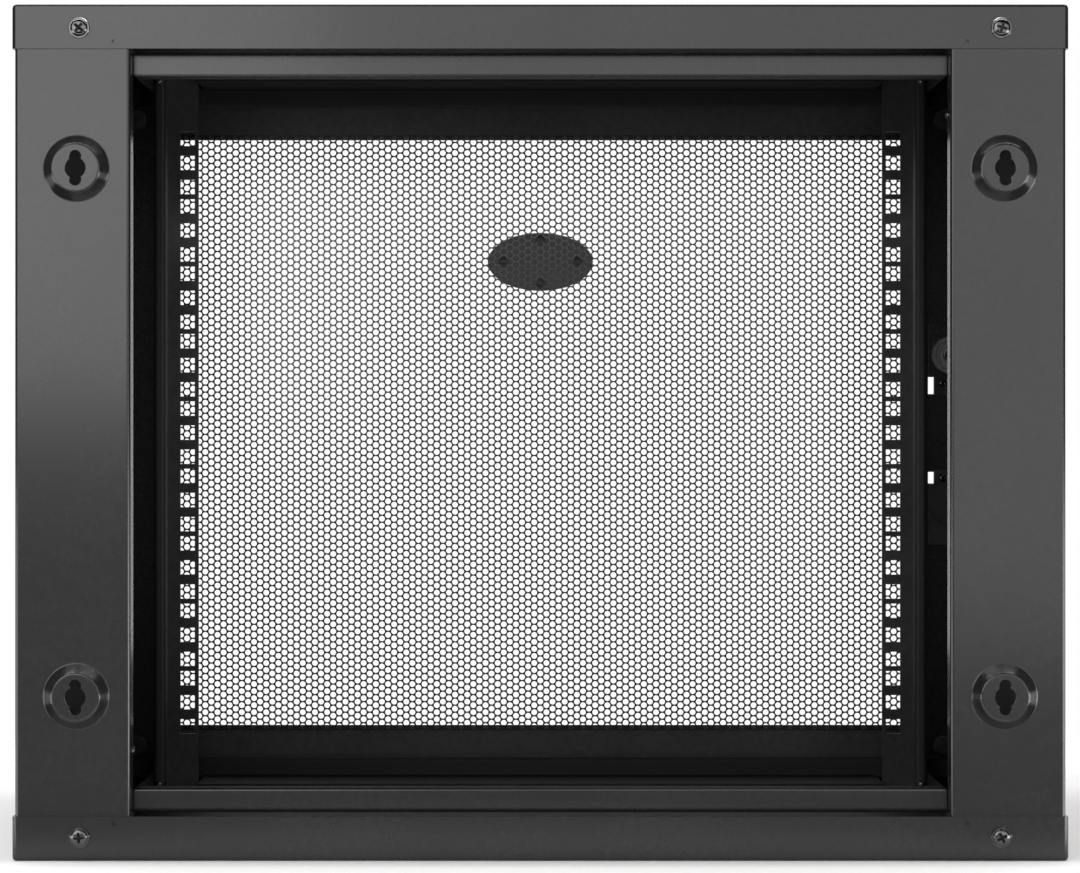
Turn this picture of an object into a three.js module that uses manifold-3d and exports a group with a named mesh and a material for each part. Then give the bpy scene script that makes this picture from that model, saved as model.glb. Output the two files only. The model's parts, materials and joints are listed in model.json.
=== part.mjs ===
// Wall-mount rack cabinet, 9 units high, for 19-inch equipment.
// Millimetres, +Z up. The door faces -Y and the wall side faces +Y. The origin is the
// middle of the bottom cover's underside. Left and right are as seen from the door.
import * as THREE from "three";
import { mergeVertices } from "three/addons/utils/BufferGeometryUtils.js";
import Module from "manifold-3d";

const wasm = await Module();
wasm.setup();

// Cabinet
const WIDTH = 600;
const HEIGHT = 486.4;
const MID_Z = HEIGHT / 2;
const REAR_Y = 200;
const BODY_FRONT_Y = -183.5;
const DOOR_FRONT_Y = -200;
const GAP = 0.3;

// Sheet metal
const THIN = 1.2;
const THICK = 1.5;
const RAIL_SHEET = 2;
const BEND = 2.5;
const COVER_FLANGE = 25.2;
const COVER_CORNER = 3;
const COVER_EDGE = 2;

// Rear posts and their wall bosses
const POST_REAR_Y = REAR_Y - THIN - GAP;
const SIDE_X = WIDTH / 2 - THIN - GAP;
const OPENING_X = 232.9;
const REAR_CROSSBAR = { z0: 26, z1: 40, rearY: 184, returnY: 172, bend: 1.8, corner: 2.5 };
const LIP_DEPTH = 15;
const POST_RETURN = 28.5;
const LIP_SCREW_Y = 190;
const LIP_SCREW_RISE = 181.2;
const BOSS_X = 263.5;
const BOSS_PITCH_Z = 300;
const BOSS_RADIUS = 18.2;
const BOSS_TOP_RADIUS = 13.8;
const BOSS_SHOULDER = 0.8;
const BOSS_RISE = 6;
const BOSS_SIDES = 28;
const KEYHOLE_RADIUS = 6;
const KEYHOLE_SLOT = 3.5;
const KEYHOLE_REACH = 6.6;

// Front frame
const FRAME_FRONT_Y = BODY_FRONT_Y + THIN + GAP;
const FRONT_POST_REAR_Y = -150;
const FRONT_FLANGE_X = 291;
const FRONT_POST_LIP_X = 284;
const FRAME_END_Z = 4.3;
const CROSSBAR_WEB_Y = -166;
const SHELF_Z = 14.4;
const SHELF_REAR_Y = -104;
const SHELF_HALF_X = 224;

// Depth-wise side rails
const SIDE_RAIL_X = 254;
const SIDE_RAIL_OUTER_X = 296;
const SIDE_RAIL_TOP_Z = 19.2;

// 19-inch mounting rails
const UNIT = 44.45;
const UNITS = 9;
const UNIT_HOLES = [6.35, 22.225, 38.1];
const HOLE_SIZE = 9.5;
const HOLE_X = 232.55;
const RAIL_REAR_Y = -133;
const RAIL_INNER_X = 225.3;
const RAIL_STEP_X = 246.3;
const RAIL_OUTER_X = SIDE_RAIL_X - GAP;
const RAIL_STEP = 10;
const RAIL_WEB = 37;
const RAIL_BEND = 2.3;
const RAIL_FLANGE_Y = RAIL_REAR_Y + RAIL_STEP;
const RAIL_SCREW_X = 250;
const RAIL_SCREW_Z = 12.5;

// Cover fixings
const COVER_SCREW_X = 261.7;
const COVER_SCREW_Z = 13.5;
const COVER_SCREW_HOLE = 2.7;
const DIMPLE_X = 242;
const DIMPLE_Z = 21.4;
const DIMPLE_RADIUS = 1.3;
const CABLE_PORT = { halfX: 120, y0: 95, y1: 155, lap: 8 };

// Door
const DOOR_HALF_X = 298.2;
const DOOR_Z0 = 5.6;
const DOOR_DEPTH = 14.5;
const DOOR_BACK_Y = DOOR_FRONT_Y + THIN;
const WINDOW_HALF_X = 250;
const WINDOW_HALF_Z = 198;
const MESH_LAP = 3.7;
const MESH_SHEET = 1;
const HINGE_X = 294;
const HINGE_Y = -194;
const HINGE_PIN_RADIUS = 2.5;
const HINGE_BRACKET = { x0: 284, y0: -199, thickness: 2.5, hole: 2.9 };
const HINGE_SLOT = { x0: 283.5, x1: 298.5, height: 3.4 };
const BUMPER = { x: 273, z: 31.3, radius: 6.8, height: 12 };

// Badge plate
const BADGE_Z = 358.9;
const BADGE_HALF_X = 35.7;
const BADGE_HALF_Z = 19.75;
const BADGE_CLIP_X = 25;
const BADGE_CLIP_Z = 14.8;

// Handle
const HANDLE_X = -275.5;
const SPINDLE_Z = 295.2;
const LOCK_Z = 194.3;
const CLAMP_HALF_X = 12.9;
const CLAMP_SHEET = 2;
const UPPER_CLAMP_Z = [268, 316.6];
const LOWER_CLAMP_Z = [167.3, 218];
const LOCK_HOUSING = { radius: 12.2, depth: 12 };
const SLOT_X = HANDLE_X + 9.1;
const UPPER_SLOT_Z = [269.3, 280.8];
const LOWER_SLOT_Z = [208.8, 216.6];
const ESCUTCHEON = { halfX: 14, waistX: 8.5, z0: 165, z1: 319, thickness: 4.7 };
const LEVER = { halfX: 10, z0: 180.3, z1: 307.2, thickness: 7, gap: 1.5 };

// Side panels
const PANEL = { y0: -149.5, y1: 169.5, z0: 25.9, depth: 12 };
const LATCH = { y: 10, z: 56, radius: 9, shaft: 4, cam: 24 };

// Small parts inside
const STRIKE = { reach: 18, width: 7.3, halfZ: 14 };
const EARTH_STUD = { x: 270, y: 60, radius: 3, nutRadius: 6, topZ: 18, nutTopZ: 8 };

const X_AXIS = new THREE.Vector3(1, 0, 0);
const Y_AXIS = new THREE.Vector3(0, 1, 0);
const Z_AXIS = new THREE.Vector3(0, 0, 1);

// ---- solids ----

// Signed volume of an indexed triangle mesh, positive when its faces point out.
function signedVolume(vertices, triangles) {
  const corner = (i) => new THREE.Vector3().fromArray(vertices, 3 * triangles[i]);
  let sum = 0;
  for (let i = 0; i < triangles.length; i += 3) {
    sum += corner(i).dot(corner(i + 1).cross(corner(i + 2)));
  }
  return sum / 6;
}

// A closed geometry as a solid with its shared vertices merged and its faces pointing out.
function toSolid(geometry) {
  const bare = geometry.clone();
  bare.deleteAttribute("normal");
  bare.deleteAttribute("uv");
  const merged = mergeVertices(bare, 1e-4);
  const vertProperties = new Float32Array(merged.attributes.position.array);
  const triangles = [];
  for (let i = 0; i < merged.index.count; i += 3) {
    const [a, b, c] = merged.index.array.slice(i, i + 3);
    if (a !== b && b !== c && a !== c) triangles.push(a, b, c);
  }
  const outward = signedVolume(vertProperties, triangles) > 0;
  const triVerts = new Uint32Array(outward ? triangles : triangles.reverse());
  return new wasm.Manifold(new wasm.Mesh({ numProp: 3, vertProperties, triVerts }));
}

function toGeometry(solid) {
  const { vertProperties, triVerts } = solid.getMesh();
  const geometry = new THREE.BufferGeometry();
  geometry.setAttribute("position", new THREE.BufferAttribute(vertProperties, 3));
  geometry.setIndex(new THREE.BufferAttribute(triVerts, 1));
  geometry.computeVertexNormals();
  return geometry;
}

function turned(solid, matrix) {
  return toSolid(toGeometry(solid).applyMatrix4(matrix));
}

function box([x0, y0, z0], [x1, y1, z1]) {
  const geometry = new THREE.BoxGeometry(x1 - x0, y1 - y0, z1 - z0);
  geometry.translate((x0 + x1) / 2, (y0 + y1) / 2, (z0 + z1) / 2);
  return toSolid(geometry);
}

// A round bar along X, Y or Z, from one coordinate to another on that axis.
function bar(axis, radius, centre, from, to, segments = 24) {
  const geometry = new THREE.CylinderGeometry(radius, radius, to - from, segments);
  if (axis === "x") geometry.rotateZ(Math.PI / 2);
  if (axis === "z") geometry.rotateX(Math.PI / 2);
  const middle = new THREE.Vector3(...centre);
  middle[axis] = (from + to) / 2;
  geometry.translate(middle.x, middle.y, middle.z);
  return toSolid(geometry);
}

// An outline pushed along an axis. The outline is in (y, z) for x, (x, z) for y, (x, y) for z.
function prism(axis, shape, from, to, curveSegments = 8) {
  const geometry = new THREE.ExtrudeGeometry(shape, {
    depth: to - from,
    bevelEnabled: false,
    curveSegments,
  });
  const matrix = new THREE.Matrix4();
  if (axis === "x") matrix.makeBasis(Y_AXIS, Z_AXIS, X_AXIS).setPosition(from, 0, 0);
  if (axis === "y") matrix.makeBasis(X_AXIS, Z_AXIS, Y_AXIS.clone().negate()).setPosition(0, to, 0);
  if (axis === "z") matrix.setPosition(0, 0, from);
  return toSolid(geometry.applyMatrix4(matrix));
}

// A profile of [radius, y] points turned about the Y axis.
function turnedProfile(profile, segments = 32) {
  const points = profile.map(([radius, y]) => new THREE.Vector2(radius, y));
  return new THREE.LatheGeometry(points, segments);
}

// ---- outlines ----

function roundedRectangle(x0, y0, x1, y1, radius) {
  const shape = new THREE.Shape();
  shape.moveTo(x0 + radius, y0);
  shape.lineTo(x1 - radius, y0);
  shape.absarc(x1 - radius, y0 + radius, radius, -Math.PI / 2, 0);
  shape.lineTo(x1, y1 - radius);
  shape.absarc(x1 - radius, y1 - radius, radius, 0, Math.PI / 2);
  shape.lineTo(x0 + radius, y1);
  shape.absarc(x0 + radius, y1 - radius, radius, Math.PI / 2, Math.PI);
  shape.lineTo(x0, y0 + radius);
  shape.absarc(x0 + radius, y0 + radius, radius, Math.PI, 1.5 * Math.PI);
  return shape;
}

// A folded sheet seen end on. One face runs through the corners, the thickness lies to
// its left, and each fold has an outer radius of bend.
function foldedSheet(corners, thickness, bend = BEND, steps = 2) {
  const path = corners.map(([x, y]) => new THREE.Vector2(x, y));
  const face = [];
  const back = [];
  const leftOf = (direction) => new THREE.Vector2(-direction.y, direction.x);
  const add = (point, normal) => {
    face.push(point);
    back.unshift(point.clone().addScaledVector(normal, thickness));
  };
  path.forEach((corner, i) => {
    const before = i > 0 ? corner.clone().sub(path[i - 1]).normalize() : null;
    const after = i < path.length - 1 ? path[i + 1].clone().sub(corner).normalize() : null;
    if (!before || !after) {
      add(corner, leftOf(before ?? after));
      return;
    }
    const turn = Math.sign(before.cross(after));
    const angle = Math.acos(THREE.MathUtils.clamp(before.dot(after), -1, 1));
    const radius = turn > 0 ? bend : bend - thickness;
    const start = corner.clone().addScaledVector(before, -radius * Math.tan(angle / 2));
    const centre = start.clone().addScaledVector(leftOf(before), turn * radius);
    for (let step = 0; step <= steps; step += 1) {
      const swing = (turn * angle * step) / steps;
      const normal = leftOf(before).rotateAround(new THREE.Vector2(), swing);
      add(centre.clone().addScaledVector(normal, -turn * radius), normal);
    }
  });
  return new THREE.Shape([...face, ...back]);
}

// A shallow folded tray, open upwards, with rounded corners and a rounded bottom edge.
function tray(width, length, height, sheet, corner, edge) {
  const block = (inset) => {
    const radius = corner - inset;
    const roll = edge - inset;
    const halfX = width / 2 - edge;
    const halfY = length / 2 - edge;
    const shape = roundedRectangle(-halfX, -halfY, halfX, halfY, Math.max(radius - roll, 0.1));
    const geometry = new THREE.ExtrudeGeometry(shape, {
      depth: height,
      bevelThickness: roll,
      bevelSize: roll,
      bevelSegments: 2,
      curveSegments: 2,
    });
    return toSolid(geometry.translate(0, 0, edge));
  };
  const rim = box([-width, -length, height], [width, length, 2 * height + 4 * edge]);
  return block(0).subtract(block(sheet)).subtract(rim);
}

// ---- scene graph ----

function paint(color, roughness, metalness) {
  return () => new THREE.MeshStandardMaterial({ color, roughness, metalness });
}

const powderCoat = paint(0x2c2d2f, 0.55, 0.1);
const darkPlastic = paint(0x161617, 0.5, 0);
const zinc = paint(0x9a9ea3, 0.35, 1);
const blackSteel = paint(0x1c1c1e, 0.4, 0.8);
const rubber = paint(0x101010, 0.9, 0);

function piece(name, shape, material, position = [0, 0, 0]) {
  const geometry = shape.isBufferGeometry ? shape : toGeometry(shape);
  const mesh = new THREE.Mesh(geometry, material());
  mesh.name = name;
  mesh.position.set(...position);
  return mesh;
}

// The same piece turned half a turn about the cabinet's front-to-back centre line.
function opposite(name, shape, material, [x, y, z] = [0, 0, 0]) {
  const mesh = piece(name, shape, material, [-x, y, HEIGHT - z]);
  mesh.rotation.y = Math.PI;
  return mesh;
}

function pair(nameOne, nameTwo, shape, material, position) {
  return [piece(nameOne, shape, material, position), opposite(nameTwo, shape, material, position)];
}

// ---- cabinet ----

function cover() {
  const middleY = (REAR_Y + BODY_FRONT_Y) / 2;
  const depth = REAR_Y - BODY_FRONT_Y;
  const shift = new THREE.Matrix4().makeTranslation(0, middleY, 0);
  let solid = turned(tray(WIDTH, depth, COVER_FLANGE, THIN, COVER_CORNER, COVER_EDGE), shift);
  const { halfX, y0, y1 } = CABLE_PORT;
  solid = solid.subtract(prism("z", roundedRectangle(-halfX, y0, halfX, y1, 6), -1, THIN + 1, 4));
  for (const side of [-1, 1]) {
    const flange = [REAR_Y - 3, REAR_Y + 1];
    const screwAt = [side * COVER_SCREW_X, 0, COVER_SCREW_Z];
    solid = solid.subtract(bar("y", COVER_SCREW_HOLE, screwAt, ...flange, 12));
    solid = solid.subtract(bar("y", DIMPLE_RADIUS, [side * DIMPLE_X, 0, DIMPLE_Z], ...flange, 8));
    const [x0, x1] = [side * HINGE_SLOT.x0, side * HINGE_SLOT.x1].sort((a, b) => a - b);
    const slotTop = [x1, BODY_FRONT_Y + THIN + 0.7, THIN + HINGE_SLOT.height];
    solid = solid.subtract(box([x0, BODY_FRONT_Y - 1, THIN], slotTop));
  }
  return solid;
}

function cablePlate() {
  const { halfX, y0, y1, lap } = CABLE_PORT;
  const outline = roundedRectangle(-halfX - lap, y0 - lap, halfX + lap, y1 + lap, 8);
  return prism("z", outline, THIN + GAP, THIN + GAP + THICK, 4);
}

// A raised hollow dish with a flat top, turned about Y, its skirt lying in the post's sheet.
function boss() {
  const profile = [
    [0, BOSS_RISE - THICK],
    [BOSS_TOP_RADIUS - BOSS_SHOULDER, BOSS_RISE - THICK],
    [BOSS_RADIUS - 2.2, -THICK],
    [BOSS_RADIUS + 1, -THICK],
    [BOSS_RADIUS + 1, 0],
    [BOSS_RADIUS, 0],
    [BOSS_RADIUS - 0.5, 0.6],
    [BOSS_TOP_RADIUS + BOSS_SHOULDER, BOSS_RISE - BOSS_SHOULDER],
    [BOSS_TOP_RADIUS, BOSS_RISE],
    [0, BOSS_RISE],
  ];
  return turnedProfile(profile, BOSS_SIDES);
}

function keyhole(x, z) {
  const span = [POST_REAR_Y, POST_REAR_Y + BOSS_RISE + 1];
  const middle = bar("y", KEYHOLE_RADIUS, [x, 0, z], ...span, 16);
  const upper = bar("y", KEYHOLE_SLOT, [x, 0, z + KEYHOLE_REACH], ...span, 12);
  const lower = bar("y", KEYHOLE_SLOT, [x, 0, z - KEYHOLE_REACH], ...span, 12);
  return middle.add(upper).add(lower);
}

function rearPost() {
  const outline = foldedSheet(
    [
      [SIDE_X, POST_REAR_Y - POST_RETURN],
      [SIDE_X, POST_REAR_Y],
      [OPENING_X, POST_REAR_Y],
      [OPENING_X, POST_REAR_Y - LIP_DEPTH],
    ],
    THICK,
  );
  let post = prism("z", outline, THIN + GAP, HEIGHT - THIN - GAP);
  for (const side of [-1, 1]) {
    const z = MID_Z + (side * BOSS_PITCH_Z) / 2;
    const wall = [POST_REAR_Y - THICK - 1, POST_REAR_Y + 1];
    const dish = toSolid(boss().translate(BOSS_X, POST_REAR_Y, z));
    post = post.subtract(bar("y", BOSS_RADIUS - 0.8, [BOSS_X, 0, z], ...wall, BOSS_SIDES));
    post = post.add(dish).subtract(keyhole(BOSS_X, z));
    const screwZ = MID_Z + side * (MID_Z - COVER_SCREW_Z);
    post = post.subtract(bar("y", COVER_SCREW_HOLE, [COVER_SCREW_X, 0, screwZ], ...wall, 12));
    const lipSpan = [OPENING_X - 1, OPENING_X + THICK + 1];
    const lipZ = MID_Z + side * LIP_SCREW_RISE;
    post = post.subtract(bar("x", 1.9, [0, LIP_SCREW_Y, lipZ], ...lipSpan, 10));
  }
  return post;
}

function frontPost() {
  const outline = foldedSheet(
    [
      [FRONT_FLANGE_X, FRAME_FRONT_Y],
      [SIDE_X, FRAME_FRONT_Y],
      [SIDE_X, FRONT_POST_REAR_Y],
      [FRONT_POST_LIP_X, FRONT_POST_REAR_Y],
    ],
    THICK,
  );
  return prism("z", outline, FRAME_END_Z, HEIGHT - FRAME_END_Z);
}

// Bottom side rail, a channel open upwards. side is 1 for the right-hand one.
function sideRail(side) {
  const corners = [
    [SIDE_RAIL_X, SIDE_RAIL_TOP_Z],
    [SIDE_RAIL_X, THIN + GAP],
    [SIDE_RAIL_OUTER_X, THIN + GAP],
    [SIDE_RAIL_OUTER_X, SIDE_RAIL_TOP_Z],
  ];
  const points = foldedSheet(corners, THICK).getPoints();
  const outline = new THREE.Shape(points.map((p) => new THREE.Vector2(side * p.x, p.y)));
  return prism("y", outline, FRONT_POST_REAR_Y + 1, POST_REAR_Y - THICK - 0.4);
}

function rearCrossbar() {
  const { z0, z1, rearY, returnY, bend, corner } = REAR_CROSSBAR;
  const corners = [[returnY, z0], [rearY, z0], [rearY, z1], [returnY, z1]];
  const halfX = OPENING_X - GAP;
  const channel = prism("x", foldedSheet(corners, THICK, bend), -halfX, halfX);
  const rounded = roundedRectangle(-halfX, z0 - 4 * corner, halfX, z1, corner);
  return channel.intersect(prism("y", rounded, returnY - 1, rearY + 1, 3));
}

function frontCrossbar() {
  const outline = foldedSheet(
    [
      [SHELF_REAR_Y, SHELF_Z],
      [CROSSBAR_WEB_Y, SHELF_Z],
      [CROSSBAR_WEB_Y, COVER_FLANGE],
      [FRAME_FRONT_Y, COVER_FLANGE],
      [FRAME_FRONT_Y, FRAME_END_Z],
    ],
    THICK,
  );
  const halfX = FRONT_FLANGE_X - GAP;
  let solid = prism("x", outline, -halfX, halfX);
  for (const side of [-1, 1]) {
    const [x0, x1] = [side * SHELF_HALF_X, side * (halfX + 1)].sort((a, b) => a - b);
    solid = solid.subtract(box([x0, CROSSBAR_WEB_Y + 2, 0], [x1, SHELF_REAR_Y + 1, 30]));
  }
  return solid;
}

// A pan-head screw on a washer, its axis along Y and its washer's seat at y = 0.
function panScrew(headRadius, washerRadius, shankRadius, shankLength) {
  const profile = [[0, -shankLength], [shankRadius, -shankLength], [shankRadius, 0]];
  if (washerRadius > headRadius) profile.push([washerRadius, 0], [washerRadius, 0.9]);
  profile.push(
    [headRadius, washerRadius > headRadius ? 0.9 : 0],
    [headRadius, 1.6],
    [0.8 * headRadius, 2.9],
    [0, 3.3],
  );
  return turnedProfile(profile, 16);
}

// The bottom hinge bracket, a tongue that lies on the cover's floor and holds the pin.
function hingeBracket() {
  const { x0, y0, thickness, hole } = HINGE_BRACKET;
  const outline = roundedRectangle(x0, y0, SIDE_X - GAP, FRONT_POST_REAR_Y, 3);
  const plate = prism("z", outline, 0, thickness, 4);
  return plate.subtract(bar("z", hole, [HINGE_X, HINGE_Y, 0], -1, thickness + 1, 16));
}

function latchStrike() {
  const { reach, width, halfZ } = STRIKE;
  const x0 = -SIDE_X + THICK + GAP;
  const y0 = FRAME_FRONT_Y + THICK + GAP;
  const corners = [[x0, y0 + reach], [x0, y0], [x0 + width, y0]];
  return prism("z", foldedSheet(corners, THICK), SPINDLE_Z - halfZ, SPINDLE_Z + halfZ);
}

function earthStud() {
  const { x, y, radius, nutRadius, topZ, nutTopZ } = EARTH_STUD;
  const seat = THIN + GAP + THICK + GAP;
  const stud = bar("z", radius, [x, y, 0], seat, topZ, 20);
  return stud.add(bar("z", nutRadius, [x, y, 0], seat, nutTopZ, 6));
}

function cabinet() {
  const group = new THREE.Group();
  group.add(...pair("bottom_cover", "top_cover", cover(), powderCoat));
  group.add(...pair("cable_plate_bottom", "cable_plate_top", cablePlate(), powderCoat));
  group.add(...pair("rear_post_right", "rear_post_left", rearPost(), powderCoat));
  group.add(...pair("front_post_right", "front_post_left", frontPost(), powderCoat));
  group.add(...pair("side_rail_bottom_right", "side_rail_top_left", sideRail(1), powderCoat));
  group.add(...pair("side_rail_bottom_left", "side_rail_top_right", sideRail(-1), powderCoat));
  group.add(...pair("rear_crossbar_bottom", "rear_crossbar_top", rearCrossbar(), powderCoat));
  group.add(...pair("front_crossbar_bottom", "front_crossbar_top", frontCrossbar(), powderCoat));

  const coverScrew = panScrew(5, 6.2, 2.2, 10);
  const seat = REAR_Y + GAP;
  const right = [COVER_SCREW_X, seat, COVER_SCREW_Z];
  const left = [-COVER_SCREW_X, seat, COVER_SCREW_Z];
  group.add(...pair("cover_screw_bottom_right", "cover_screw_top_left", coverScrew, zinc, right));
  group.add(...pair("cover_screw_bottom_left", "cover_screw_top_right", coverScrew, zinc, left));

  const lipScrew = panScrew(2.6, 2.6, 1.5, 3).rotateZ(Math.PI / 2);
  const lipSeat = [OPENING_X - GAP, LIP_SCREW_Y, MID_Z - LIP_SCREW_RISE];
  group.add(...pair("lip_screw_right", "lip_screw_left", lipScrew, zinc, lipSeat));

  const bracket = hingeBracket();
  const bracketZ = THIN + GAP;
  group.add(piece("hinge_bracket_bottom", bracket, powderCoat, [0, 0, bracketZ]));
  const bracketTopZ = HEIGHT - bracketZ - HINGE_BRACKET.thickness;
  group.add(piece("hinge_bracket_top", bracket, powderCoat, [0, 0, bracketTopZ]));
  group.add(piece("latch_strike", latchStrike(), zinc));
  group.add(piece("earth_stud", earthStud(), zinc));
  return group;
}

// ---- mounting rails ----

function mountingRail() {
  const outline = foldedSheet(
    [
      [RAIL_OUTER_X, RAIL_FLANGE_Y - RAIL_WEB],
      [RAIL_OUTER_X, RAIL_FLANGE_Y],
      [RAIL_STEP_X, RAIL_FLANGE_Y],
      [RAIL_STEP_X, RAIL_REAR_Y],
      [RAIL_INNER_X, RAIL_REAR_Y],
    ],
    RAIL_SHEET,
    RAIL_BEND,
  );
  let rail = prism("z", outline, FRAME_END_Z, HEIGHT - FRAME_END_Z);
  const half = HOLE_SIZE / 2;
  for (let unit = 0; unit < UNITS; unit += 1) {
    for (const rise of UNIT_HOLES) {
      const z = MID_Z + (unit - UNITS / 2) * UNIT + rise;
      const low = [HOLE_X - half, RAIL_REAR_Y - RAIL_SHEET - 1, z - half];
      rail = rail.subtract(box(low, [HOLE_X + half, RAIL_REAR_Y + 1, z + half]));
    }
  }
  const flange = [RAIL_FLANGE_Y - RAIL_SHEET - 1, RAIL_FLANGE_Y + 1];
  for (const z of [RAIL_SCREW_Z, HEIGHT - RAIL_SCREW_Z]) {
    rail = rail.subtract(bar("y", 1.6, [RAIL_SCREW_X, 0, z], ...flange, 12));
  }
  return rail;
}

function mountingRails() {
  const group = new THREE.Group();
  group.add(...pair("mounting_rail_right", "mounting_rail_left", mountingRail(), powderCoat));
  const screw = panScrew(2.2, 2.2, 1.2, 4);
  const seat = RAIL_FLANGE_Y + GAP;
  const right = [RAIL_SCREW_X, seat, RAIL_SCREW_Z];
  const left = [-RAIL_SCREW_X, seat, RAIL_SCREW_Z];
  group.add(...pair("rail_screw_bottom_right", "rail_screw_top_left", screw, zinc, right));
  group.add(...pair("rail_screw_bottom_left", "rail_screw_top_right", screw, zinc, left));
  return group;
}

// ---- side panels ----

function sidePanel() {
  const { y0, y1, z0, depth } = PANEL;
  const flat = tray(HEIGHT - 2 * z0, y1 - y0, depth, THIN, 3, 2);
  const upright = new THREE.Matrix4().makeBasis(Z_AXIS, Y_AXIS, X_AXIS.clone().negate());
  upright.setPosition(SIDE_X, (y0 + y1) / 2, MID_Z);
  let panel = turned(flat, upright);
  for (const z of [LATCH.z, HEIGHT - LATCH.z]) {
    const hole = bar("x", LATCH.shaft + 0.4, [0, LATCH.y, z], SIDE_X - 4, SIDE_X + 1, 14);
    panel = panel.subtract(hole);
  }
  return panel;
}

// A quarter-turn latch turned about X: a flat knob outside, a shaft, and a cam inside.
function sideLatch() {
  const knob = bar("x", LATCH.radius, [0, 0, 0], GAP, GAP + 1.2, 20);
  const groove = box([GAP + 0.6, -1, -7], [GAP + 2, 1, 7]);
  const shaft = bar("x", LATCH.shaft, [0, 0, 0], -8, GAP + 0.5, 12);
  const cam = prism("x", roundedRectangle(-6, -LATCH.cam, 6, 6, 3), -6, -3.5, 2);
  return knob.subtract(groove).add(shaft).add(cam);
}

function sidePanels() {
  const group = new THREE.Group();
  group.add(...pair("side_panel_right", "side_panel_left", sidePanel(), powderCoat));
  const latch = sideLatch();
  const place = [SIDE_X, LATCH.y, LATCH.z];
  group.add(...pair("side_latch_right_bottom", "side_latch_left_top", latch, darkPlastic, place));
  const flip = new THREE.Matrix4().makeRotationX(Math.PI);
  const topLatch = turned(latch, flip);
  const topPlace = [SIDE_X, LATCH.y, HEIGHT - LATCH.z];
  group.add(
    ...pair("side_latch_right_top", "side_latch_left_bottom", topLatch, darkPlastic, topPlace),
  );
  return group;
}

// ---- door ----

function doorFrame() {
  const height = HEIGHT - 2 * DOOR_Z0;
  const flat = tray(2 * DOOR_HALF_X, height, DOOR_DEPTH, THIN, 3, 2);
  const upright = new THREE.Matrix4().makeBasis(X_AXIS, Z_AXIS.clone().negate(), Y_AXIS);
  upright.setPosition(0, DOOR_FRONT_Y, MID_Z);
  const skin = [DOOR_FRONT_Y - 1, DOOR_BACK_Y + 1];
  const opening = roundedRectangle(
    -WINDOW_HALF_X,
    MID_Z - WINDOW_HALF_Z,
    WINDOW_HALF_X,
    MID_Z + WINDOW_HALF_Z,
    2,
  );
  let frame = turned(flat, upright).subtract(prism("y", opening, ...skin, 3));
  frame = frame.subtract(bar("y", 8, [HANDLE_X, 0, SPINDLE_Z], ...skin, 24));
  for (const [z0, z1] of [UPPER_SLOT_Z, LOWER_SLOT_Z]) {
    frame = frame.subtract(box([SLOT_X, skin[0], z0], [HANDLE_X + CLAMP_HALF_X, skin[1], z1]));
  }
  const pinHole = HINGE_PIN_RADIUS + GAP;
  frame = frame.subtract(bar("z", pinHole, [HINGE_X, HINGE_Y, 0], DOOR_Z0 - 1, DOOR_Z0 + 3, 16));
  const topHole = [HEIGHT - DOOR_Z0 - 3, HEIGHT - DOOR_Z0 + 1];
  return frame.subtract(bar("z", pinHole, [HINGE_X, HINGE_Y, 0], ...topHole, 16));
}

const BADGE_CLIPS = {
  badge_clip_top: [0, BADGE_Z + BADGE_CLIP_Z],
  badge_clip_bottom: [0, BADGE_Z - BADGE_CLIP_Z],
  badge_clip_left: [-BADGE_CLIP_X, BADGE_Z],
  badge_clip_right: [BADGE_CLIP_X, BADGE_Z],
};

// The perforated sheet, drawn here without its small holes, with a hole for each clip.
function doorMesh() {
  const front = DOOR_BACK_Y + GAP;
  const halfX = WINDOW_HALF_X + MESH_LAP;
  const halfZ = WINDOW_HALF_Z + MESH_LAP;
  let sheet = box([-halfX, front, MID_Z - halfZ], [halfX, front + MESH_SHEET, MID_Z + halfZ]);
  for (const [x, z] of Object.values(BADGE_CLIPS)) {
    sheet = sheet.subtract(bar("y", 1.7, [x, 0, z], front - 1, front + MESH_SHEET + 1, 12));
  }
  return sheet;
}

function badgePlate() {
  const shape = new THREE.Shape();
  shape.absellipse(0, BADGE_Z, BADGE_HALF_X - 0.6, BADGE_HALF_Z - 0.6, 0, 2 * Math.PI);
  const geometry = new THREE.ExtrudeGeometry(shape, {
    depth: 0.6,
    bevelThickness: 0.6,
    bevelSize: 0.6,
    bevelSegments: 1,
    curveSegments: 12,
  });
  geometry.applyMatrix4(new THREE.Matrix4().makeBasis(X_AXIS, Z_AXIS, Y_AXIS.clone().negate()));
  return geometry.translate(0, DOOR_BACK_Y - 0.6, 0);
}

// A push-on retainer turned about Y, with its stem reaching -Y through the sheet.
function badgeClip() {
  const profile = [[0, -1.2], [1.2, -1.2], [1.2, 0.3], [3.2, 0.3], [2.6, 1.3], [1.4, 1.9], [0, 1.9]];
  return turnedProfile(profile, 10);
}

// A hinge pin turned about Z, through the bracket and the door's folded edge.
function hingePin() {
  const profile = [
    [0, 2],
    [HINGE_PIN_RADIUS - 0.5, 2],
    [HINGE_PIN_RADIUS, 2.5],
    [HINGE_PIN_RADIUS, DOOR_Z0 + 13],
    [0, DOOR_Z0 + 13],
  ];
  return turnedProfile(profile, 16).rotateX(Math.PI / 2);
}

function bumper() {
  const { radius, height } = BUMPER;
  const profile = [[0, 0], [radius, 0], [radius, height - 1.5], [radius - 1.5, height], [0, height]];
  return turnedProfile(profile, 16);
}

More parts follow.
